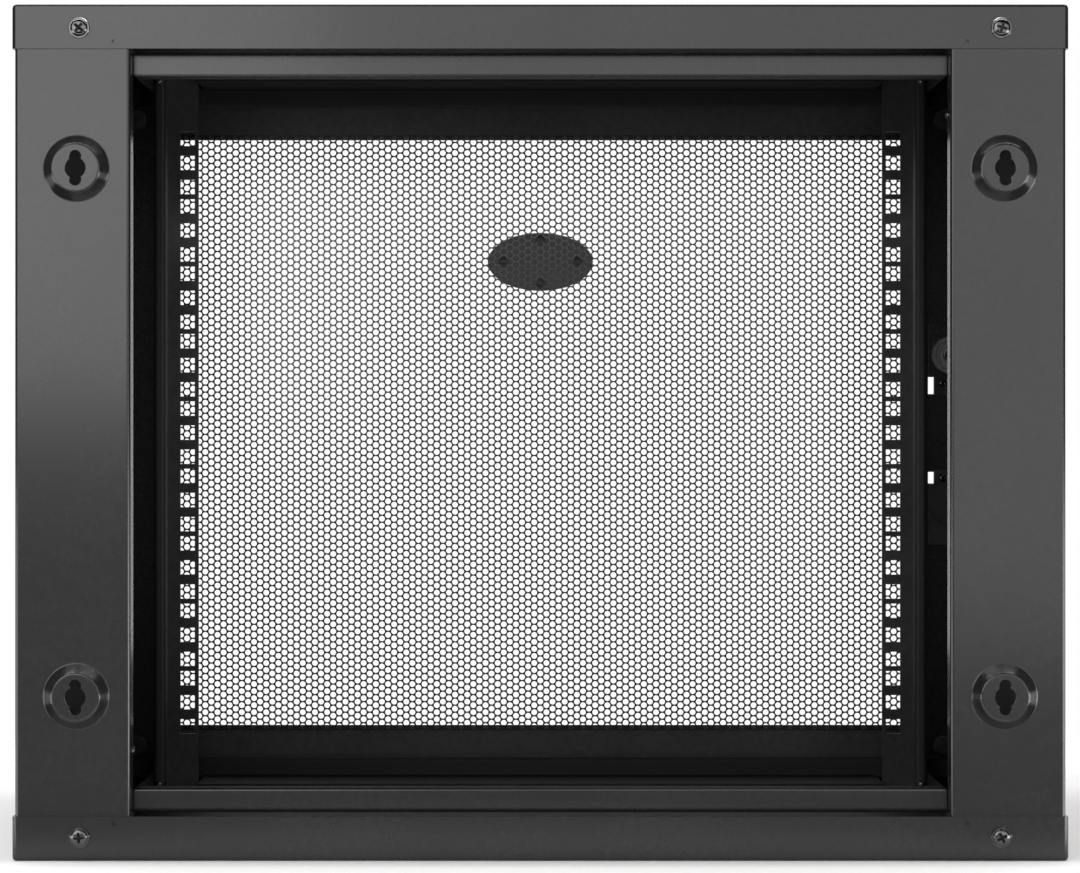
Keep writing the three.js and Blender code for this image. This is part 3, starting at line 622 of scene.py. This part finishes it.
def boss_mesh():
    """A hollow dish whose base flares out of the sheet and whose shoulder is rolled over."""
    skirt = BOSS_RADIUS + 1.2
    base = (BOSS_RADIUS + 0.9, BOSS_FILLET + 0.01)
    flare = arc(base, BOSS_FILLET, 270, 270 - BOSS_SLOPE, 4)
    top = (BOSS_TOP_RADIUS - 1.2, BOSS_RISE - BOSS_ROLL)
    shoulder = arc(top, BOSS_ROLL, 90 - BOSS_SLOPE, 90, 8)
    back = 0.1 - POST_SHEET
    profile = [(0, back), (skirt, back), (skirt, -0.2), *flare, *shoulder, (0, BOSS_RISE)]
    inside = [
        (0, -POST_SHEET - 1),
        (BOSS_RADIUS - 2.0, -POST_SHEET - 1),
        (BOSS_RADIUS - 2.0, back),
        (BOSS_TOP_RADIUS - 1.4, BOSS_RISE - POST_SHEET),
        (0, BOSS_RISE - POST_SHEET),
    ]
    return combined(lathe(profile, 72), [lathe(inside, 72)], "DIFFERENCE")


def keyhole_mesh():
    """A round hole with a slot above and below it, as a solid to cut with."""
    low, high = -4, BOSS_RISE + 2
    slots = []
    for side in (-1, 1):
        slot = rod(KEYHOLE["slot"], low, high, 32)
        slots.append(moved(slot, at(0, side * KEYHOLE["reach"], 0)))
    return combined(rod(KEYHOLE["radius"], low, high), slots, "UNION")


def rear_post():
    """The right-hand post: a folded sheet with two pressed bosses, each with a keyhole."""
    low, high = millimetres("rear_post_right")
    screw_low, screw_high = millimetres("cover_screw_bottom_right")
    lip_low, lip_high = millimetres("lip_screw_right")
    face_y = high.y - BOSS_RISE
    corners = [
        (high.x, low.y),
        (high.x, face_y),
        (low.x, face_y),
        (low.x, face_y - POST_LIP),
    ]
    post = prism(folded_sheet(corners, POST_SHEET, POST_BEND), "z", low.z, high.z)
    mouth = BOSS_RADIUS - 1.2
    holes, dishes, keyholes = [], [], []
    for z in BOSS_Z:
        place = at(BOSS_X, face_y, z) @ TO_REAR
        holes.append(moved(rod(mouth, -4, 1, 72), place))
        dishes.append(moved(boss_mesh(), place))
        keyholes.append(moved(keyhole_mesh(), place))
    screw_x, screw_z = (screw_low.x + screw_high.x) / 2, (screw_low.z + screw_high.z) / 2
    for z in (screw_z, TOP_Z / MM - screw_z):
        hole = rod(COVER_SCREW_HOLE, -4, 2, 24)
        holes.append(moved(hole, at(screw_x, face_y, z) @ TO_REAR))
    lip_y, lip_z = (lip_low.y + lip_high.y) / 2, (lip_low.z + lip_high.z) / 2
    across = Matrix.Rotation(math.radians(90), 4, "Y")
    for z in (lip_z, TOP_Z / MM - lip_z):
        hole = rod(LIP_SCREW_HOLE, -3, 3, 24)
        holes.append(moved(hole, at(low.x, lip_y, z) @ across))
    post = combined(post, holes, "DIFFERENCE")
    post = combined(post, dishes, "UNION")
    return combined(post, keyholes, "DIFFERENCE")


def rear_posts():
    """Both posts; the left one is the right one turned half a turn."""
    right = rear_post()
    left = opposite(right)
    piece("rear_post_right_pressing", right, "rear_post_right", COAT, 0.15 * MM)
    piece("rear_post_left_pressing", left, "rear_post_left", COAT, 0.15 * MM)


# ---- fasteners ----

SEAT_TOP = 3.3
WASHER = 0.9
COVER_SCREW = {"head": 4.9, "washer": 5.9, "shank": 2.2, "length": 10}
RAIL_SCREW = {"head": 2.2, "washer": 2.2, "shank": 1.2, "length": 4}
LIP_SCREW = {"head": 2.2, "washer": 2.2, "shank": 1.5, "length": 3, "top": 1.5}
CLAMP_SCREW = {"head": 2.6, "washer": 2.6, "shank": 1.2, "length": 1.5}


def screw_mesh(head, washer, shank, length, top=SEAT_TOP):
    """A cross-recessed pan-head screw about Z, seated at z = 0, on a washer if it is wider."""
    profile = [(0, -length), (shank, -length), (shank, 0)]
    base = 0
    if washer > head:
        base = WASHER
        profile += [(washer - 0.1, 0), (washer, 0.1), (washer, base - 0.25), (washer - 0.25, base)]
        profile.append((head + 0.15, base))
    brow = base + 0.35 * (top - base)
    profile += [(head, base + 0.1), (head, brow)]
    for step in range(1, 9):
        angle = math.radians(90 * step / 8)
        radius = head * math.cos(angle) ** 0.8 if step < 8 else 0
        profile.append((radius, brow + (top - brow) * math.sin(angle)))
    arm, groove = 0.62 * head, 0.17 * head
    floor, lip = top - 0.5 * (top - base), top - 0.1
    wedge = [(0, floor), (groove, lip), (groove, top + 1), (-groove, top + 1), (-groove, lip)]
    quarter = Matrix.Rotation(math.radians(90), 4, "Z")
    cross = [prism(wedge, "y", -arm, arm), moved(prism(wedge, "y", -arm, arm), quarter)]
    return combined(lathe(profile, 48), cross, "DIFFERENCE")


def fastener(node, screw, turn, metal):
    """A screw on the seat of its CAD node; turn is its cross's angle, as real ones differ."""
    low, high = millimetres(node)
    middle = (low + high) / 2
    spin = Matrix.Rotation(math.radians(turn), 4, "Z")
    if high.x - low.x > high.y - low.y:
        side = -1 if middle.x > 0 else 1
        seat = low.x + SEAT_TOP if side < 0 else high.x - SEAT_TOP
        aim = Matrix.Rotation(math.radians(90 * side), 4, "Y")
        place = at(seat, middle.y, middle.z) @ aim
    else:
        place = at(middle.x, high.y - SEAT_TOP, middle.z) @ TO_REAR
    mesh = moved(screw_mesh(**screw), place @ spin)
    piece(f"{node}_body", mesh, node, metal, 0.1 * MM)


def fasteners():
    """The covers', the rails' and the rear posts' screws, each turned a little differently."""
    corners = [(end, side) for end in ("bottom", "top") for side in ("right", "left")]
    for i, (end, side) in enumerate(corners):
        fastener(f"cover_screw_{end}_{side}", COVER_SCREW, 4 + 23 * i, DARK_ZINC)
        fastener(f"rail_screw_{end}_{side}", RAIL_SCREW, 31 * i, ZINC)
    for side in ("right", "left"):
        fastener(f"lip_screw_{side}", LIP_SCREW, 20, DARK_ZINC)


def push_nut_mesh(radius, stem, low, high):
    """A sprung steel washer with four turned-up tongues, gripping a plastic stem."""
    dish = lathe([(0, 0.3), (radius, 0.3), (radius, 0.7), (0.55 * radius, 1.3), (0, 1.3)], 32)
    slots = []
    for quarter in range(4):
        turn = Matrix.Rotation(math.radians(45 + 90 * quarter), 4, "Z")
        slots.append(moved(box_mesh((0.4 * radius, -0.3, 0), (1.2 * radius, 0.3, 2)), turn))
    dish = combined(dish, slots, "DIFFERENCE")
    post = lathe([(0, low), (stem, low), (stem, high - 0.3), (stem - 0.3, high), (0, high)], 24)
    return combined(dish, [post], "UNION")


BADGE_STEM = 1.2
SHEET_BACK = 1.2


def badge_clips():
    """Push-on nuts on the badge plate's stems, on the inside of the perforated sheet."""
    for i, side in enumerate(("top", "bottom", "left", "right")):
        node = f"badge_clip_{side}"
        low, high = millimetres(node)
        middle = (low + high) / 2
        seat = low.y + SHEET_BACK
        turn = Matrix.Rotation(math.radians(17 * i), 4, "Z")
        mesh = push_nut_mesh((high.x - low.x) / 2, BADGE_STEM, low.y - seat, high.y - seat)
        place = at(middle.x, seat, middle.z) @ TO_REAR @ turn
        piece(f"{node}_nut", moved(mesh, place), node, OXIDE, 0.08 * MM)


BUMPER_BRIM = 1.6
BUMPER_ROLL = 2.2
BUMPER_DIMPLE = 0.8


def bumpers():
    """Rubber buffers: a brim, a rolled shoulder and a dimple in the middle."""
    for end in ("bottom", "top"):
        for side in ("right", "left"):
            node = f"door_bumper_{end}_{side}"
            low, high = millimetres(node)
            radius, height = (high.x - low.x) / 2, high.y - low.y
            brim = [(radius, BUMPER_BRIM), (radius - 0.5, BUMPER_BRIM + 0.5)]
            roll = (radius - 0.7 - BUMPER_ROLL, height - BUMPER_ROLL)
            profile = [(0, 0), (radius, 0), *brim, *arc(roll, BUMPER_ROLL, 0, 90, 6)]
            floor = height - BUMPER_DIMPLE
            profile += [(1.6, height), (1.2, floor), (0, floor)]
            middle = (low + high) / 2
            mesh = moved(lathe(profile, 48), at(middle.x, low.y, middle.z) @ TO_REAR)
            piece(f"{node}_moulding", mesh, node, RUBBER, 0.1 * MM)


# ---- handle ----

CAM_BORE = 5.3
CAM_RIM = 2.6
CAM_NOSE = 5
NUT_BORE = 2.6
NUT_TURN = 12


def handle_middle():
    """The axis that the handle's spindle, cam and nut turn about."""
    low, high = millimetres("handle_spindle")
    return (low + high) / 2


def lock_cam():
    """A dished cam with a raised rim, a hub, and a short nose towards the door's edge."""
    low, high = millimetres("lock_cam")
    middle = handle_middle()
    rim = high.x - middle.x
    sheet = high.y - low.y
    profile = [
        (CAM_BORE, 0),
        (rim, 0),
        (rim, sheet - 0.7),
        (rim - 0.7, sheet),
        (rim - CAM_RIM, sheet),
        (rim - CAM_RIM - 0.5, sheet - 0.9),
        (CAM_BORE + 3, sheet - 0.9),
        (CAM_BORE + 2.6, sheet),
        (CAM_BORE, sheet),
    ]
    disc = lathe(profile, 72, ring=True)
    nose = box_mesh((low.x - middle.x, -CAM_NOSE, 0), (0.6 - rim, CAM_NOSE, sheet - 0.3))
    mesh = combined(disc, [nose], "UNION")
    mesh = moved(mesh, at(middle.x, low.y, middle.z) @ TO_REAR)
    piece("lock_cam_pressing", mesh, "lock_cam", GREY_OXIDE, 0.15 * MM)


def cam_nut():
    """A chamfered hexagon nut over the spindle's end."""
    low, high = millimetres("cam_nut")
    middle = handle_middle()
    height = high.y - low.y
    corner = max(high.z - low.z, high.x - low.x) / 2
    turns = [math.radians(60 * i + NUT_TURN) for i in range(6)]
    hexagon = [(corner * math.cos(turn), corner * math.sin(turn)) for turn in turns]
    cone = lathe([(0, 0), (corner, 0), (corner, height - 0.9), (corner - 1.4, height), (0, height)])
    mesh = combined(prism(hexagon, "z", 0, height), [cone], "INTERSECT")
    holes = [rod(CAM_BORE, -1, 2.1), rod(NUT_BORE, height - 1, height + 1)]
    mesh = combined(mesh, holes, "DIFFERENCE")
    mesh = moved(mesh, at(middle.x, low.y, middle.z) @ TO_REAR)
    piece("cam_nut_hexagon", mesh, "cam_nut", DARK_ZINC, 0.12 * MM)


LEVER_WAIST = 7.6
LEVER_HEAD = 22
LEVER_SWELL = 6
LEVER_STEPS = 96
LOCK_BORE = 6.2
HOLLOW_HALF = 4.6
HOLLOW_CORNER = 4.5
HOLLOW_DEPTH = 1.2
HOLLOW_FROM_LOCK = 19.7
HOLLOW_LENGTH = 62


def lever_outline(half, low, high):
    """The lever's outline in (x, z): two wide ends and a slim grip, eased into each other."""

    def width(z):
        near = min(z - low, high - z)
        inset = half - LEVER_WAIST
        if near < LEVER_SWELL:
            edge = 1 - near / LEVER_SWELL
            return half - LEVER_SWELL * (1 - math.sqrt(max(0, 1 - edge * edge)))
        if near < LEVER_HEAD - LEVER_SWELL:
            return half
        ease = min(1, (near - LEVER_HEAD + LEVER_SWELL) / LEVER_SWELL)
        return half - inset * (3 - 2 * ease) * ease * ease

    shares = [0.5 * (1 - math.cos(math.pi * i / LEVER_STEPS)) for i in range(LEVER_STEPS + 1)]
    right = [(width(low + (high - low) * share), low + (high - low) * share) for share in shares]
    return right + [(-x, z) for x, z in reversed(right)]


def lever():
    """The swing handle: a slim grip with a bored end for the lock and a finger hollow."""
    low, high = millimetres("handle_lever")
    lock_low, lock_high = millimetres("lock_cylinder")
    middle_x = (low.x + high.x) / 2
    half = (high.x - low.x) / 2
    lock_z = (lock_low.z + lock_high.z) / 2
    outline = [(middle_x + x, z) for x, z in lever_outline(half, low.z, high.z)]
    grip = prism(outline, "y", low.y, high.y)
    bore = moved(rod(LOCK_BORE, -20, 20), at(middle_x, low.y, lock_z) @ TO_REAR)
    left, right = middle_x - HOLLOW_HALF, middle_x + HOLLOW_HALF
    bottom = lock_z + HOLLOW_FROM_LOCK
    hollow = rounded_rectangle(left, bottom, right, bottom + HOLLOW_LENGTH, HOLLOW_CORNER)
    hollow = prism(hollow, "y", low.y - 1, low.y + HOLLOW_DEPTH)
    mesh = combined(grip, [bore, hollow], "DIFFERENCE")
    piece("handle_lever_moulding", mesh, "handle_lever", PLASTIC, 0.9 * MM)


CLAMP_SHEET = 2
CLAMP_SCREW_X = 9.2
CLAMP_SCREW_Z = {"upper": 8.8, "lower": -5.3}


def clamp_screws():
    """Small screws that hold the handle's clamps to the door, one beside each slot."""
    for end, step in CLAMP_SCREW_Z.items():
        low, high = millimetres(f"handle_clamp_{end}")
        z = (low.z if step > 0 else high.z) + step
        spin = Matrix.Rotation(math.radians(38), 4, "Z")
        place = at(high.x - CLAMP_SCREW_X, low.y + CLAMP_SHEET, z) @ TO_REAR @ spin
        mesh = moved(screw_mesh(**CLAMP_SCREW), place)
        obj = link(f"handle_clamp_{end}_screw", mesh)
        obj.data.materials.clear()
        obj.data.materials.append(DARK_ZINC)
        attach(obj, "door")
        soften(obj, 0.1 * MM)


# ---- perforated door sheet ----

HOLE_PITCH = 4.7625 * MM
HOLE_COLUMN = HOLE_PITCH * math.sqrt(3) / 2
HOLE_RADIUS = 1.95 * MM
HOLE_SIDES = 12
STRIPS = 5


def perforated_pattern(columns, rows, first_column):
    """Points and faces of a flat strip of staggered holes, in (x, z) about its lower left."""
    swell = math.sqrt(2 * math.pi / (HOLE_SIDES * math.sin(2 * math.pi / HOLE_SIDES)))
    ring = [
        (
            HOLE_RADIUS * swell * math.cos(2 * math.pi * i / HOLE_SIDES),
            HOLE_RADIUS * swell * math.sin(2 * math.pi * i / HOLE_SIDES),
        )
        for i in range(HOLE_SIDES)
    ]
    half_x, half_z = HOLE_COLUMN / 2, HOLE_PITCH / 2
    # An outline corner, and the step of the hole's ring that it joins.
    outline = [
        (half_x, 0, 0),
        (half_x, half_z, 2),
        (-half_x, half_z, 4),
        (-half_x, 0, 6),
        (-half_x, -half_z, 8),
        (half_x, -half_z, 10),
    ]
    points, index, faces = [], {}, []

    def point(x, z):
        key = (round(x / MM, 3), round(z / MM, 3))
        if key not in index:
            index[key] = len(points)
            points.append((x, z))
        return index[key]

    for column in range(columns):
        odd = (first_column + column) % 2
        x = (column + 0.5) * HOLE_COLUMN
        for row in range(rows):
            z = (row + 0.5 + 0.5 * odd) * HOLE_PITCH
            hole = [len(points) + i for i in range(HOLE_SIDES)]
            points.extend((x + dx, z + dz) for dx, dz in ring)
            corners = [(point(x + dx, z + dz), step) for dx, dz, step in outline]
            for (a, start), (b, stop) in zip(corners, corners[1:] + corners[:1]):
                span = (stop - start) % HOLE_SIDES
                inner = [hole[(start + i) % HOLE_SIDES] for i in range(span + 1)]
                faces.append([a, b, *reversed(inner)])
        # The half cell left at one end of each column is plain.
        end = rows * HOLE_PITCH if not odd else 0
        corners = [(-half_x, 0), (half_x, 0), (half_x, half_z), (-half_x, half_z)]
        faces.append([point(x + dx, end + dz) for dx, dz in corners])
    return points, faces


def solid_sheet(points, faces, corner, thickness):
    """The flat pattern as a closed sheet, its front at corner.y and its back thickness on."""
    count = len(points)
    front = [(corner.x + x, corner.y, corner.z + z) for x, z in points]
    back = [(x, y + thickness, z) for x, y, z in front]
    polygons = list(faces) + [[count + i for i in reversed(face)] for face in faces]
    sides = dict.fromkeys(side for face in faces for side in zip(face, face[1:] + face[:1]))
    for a, b in sides:
        if (b, a) not in sides:
            polygons.append([b, a, count + a, count + b])
    mesh = bpy.data.meshes.new("sheet")
    mesh.from_pydata(front + back, [], polygons)
    mesh.update()
    return mesh


def door_sheet():
    """The door's perforated sheet in upright strips, so that no one mesh is too large."""
    low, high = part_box("door_mesh")
    columns = int((high.x - low.x) / HOLE_COLUMN)
    rows = int((high.z - low.z) / HOLE_PITCH - 0.5)
    width = columns * HOLE_COLUMN
    height = (rows + 0.5) * HOLE_PITCH
    left = (low.x + high.x - width) / 2
    bottom = (low.z + high.z - height) / 2
    shares = [columns // STRIPS + (i < columns % STRIPS) for i in range(STRIPS)]
    first = 0
    for strip, share in enumerate(shares):
        points, faces = perforated_pattern(share, rows, first)
        corner = Vector((left + first * HOLE_COLUMN, low.y, bottom))
        sheet = solid_sheet(points, faces, corner, high.y - low.y)
        piece(f"door_sheet_{strip + 1}", sheet, "door_mesh", COAT, width=0)
        first += share


# ---- assembly ----

OTHER_COATS = {"door_frame": DOOR_COAT}
for side in ("right", "left"):
    OTHER_COATS[f"front_post_{side}"] = INNER_COAT
    OTHER_COATS[f"mounting_rail_{side}"] = RAIL_COAT
for end in ("bottom", "top"):
    OTHER_COATS[f"front_crossbar_{end}"] = INNER_COAT
    OTHER_COATS[f"rear_crossbar_{end}"] = BAR_COAT

door_sheet()
rear_posts()
fasteners()
badge_clips()
bumpers()
lock_cam()
cam_nut()
lever()
clamp_screws()
for node, slot in SLOTS.items():
    if node not in REPLACED:
        dress(node, OTHER_COATS.get(node, SLOT_MATERIALS[slot]))

# ---- floor, light and camera ----


def stage():
    """A round floor, short of the camera's side so that it isn't mirrored in the rear."""
    mesh = bpy.data.meshes.new("floor")
    rim = [2 * math.pi * i / FLOOR_SIDES for i in range(FLOOR_SIDES)]
    points = [(FLOOR_RADIUS * math.cos(a), FLOOR_Y + FLOOR_RADIUS * math.sin(a), 0) for a in rim]
    mesh.from_pydata(points, [], [list(range(FLOOR_SIDES))])
    floor = link("floor", mesh)
    floor.data.materials.append(pale_floor("floor"))


def softbox(name, place, target, size, radiance):
    """A square-cornered softbox; radiance is how bright its face is beside a white of 1."""
    data = bpy.data.lights.new(name, "AREA")
    data.shape = "RECTANGLE"
    data.size, data.size_y = size
    data.energy = radiance * math.pi * size[0] * size[1]
    light = bpy.data.objects.new(name, data)
    light.location = place
    light.rotation_euler = (Vector(target) - Vector(place)).to_track_quat("-Z", "Y").to_euler()
    light.visible_camera = False
    bpy.context.scene.collection.objects.link(light)


def world():
    """White behind the object, and a dim studio for what lights it."""
    studio = bpy.data.worlds.new("studio")
    studio.use_nodes = True
    nodes, links = studio.node_tree.nodes, studio.node_tree.links
    path = nodes.new("ShaderNodeLightPath")
    strength = nodes.new("ShaderNodeMapRange")
    strength.inputs["To Min"].default_value = ROOM_LIGHT
    strength.inputs["To Max"].default_value = 1.0
    links.new(path.outputs["Is Camera Ray"], strength.inputs["Value"])
    links.new(strength.outputs["Result"], nodes["Background"].inputs["Strength"])
    nodes["Background"].inputs["Color"].default_value = (1, 1, 1, 1)
    bpy.context.scene.world = studio


def lights():
    """Softboxes before the rear, above, beyond the door, and low at the sides and the rear."""
    softbox("key", (0.85, 1.35, 0.86), (0.7, 0.2, 0.84), (1.3, 1.2), 2.85)
    softbox("side", (-0.9, 1.35, 0.52), (-0.8, 0.2, 0.5), (1.3, 0.94), 1.35)
    softbox("between", (-0.02, 1.35, 0.85), (-0.02, 0.2, 0.84), (0.44, 0.86), 1.46)
    softbox("front", (0, 3.0, 0.6), (0, 0, 0.5), (3.5, 2.0), 0.47)
    softbox("overhead", (0, -0.4, 2.0), (0, -0.399, 0), (2.4, 1.5), 3.2)
    softbox("strip", (0, 0.165, 1.6), (0, 0.166, 0), (2.4, 0.1), 22)
    softbox("backdrop", (0, -1.7, 0.6), (0, 0, 0.5), (2.2, 1.2), 0.8)
    softbox("left", (1.3, 0.8, -0.02), (0, 0.55, 0.12), (1.7, 0.4), 3.6)
    softbox("low", (0, 1.3, -0.36), (0, 0.2, 0.1), (3.0, 0.3), 2.2)
    softbox("right", (-1.3, 0.8, -0.02), (0, 0.55, 0.12), (1.7, 0.4), 6)


def camera():
    """Level with the rear's middle and square to it, as far off as the photo's two scales say."""
    data = bpy.data.cameras.new("camera")
    data.sensor_width = 36
    data.lens = 121
    data.shift_x = -0.0003
    data.shift_y = -0.0036
    data.clip_end = 100
    obj = bpy.data.objects.new("camera", data)
    obj.location = (0, REAR_Y + 2.06, MID_Z)
    obj.rotation_euler = (math.radians(90), 0, math.radians(180))
    bpy.context.scene.collection.objects.link(obj)
    bpy.context.scene.camera = obj


stage()
world()
lights()
camera()
bpy.context.scene.view_settings.view_transform = "Standard"
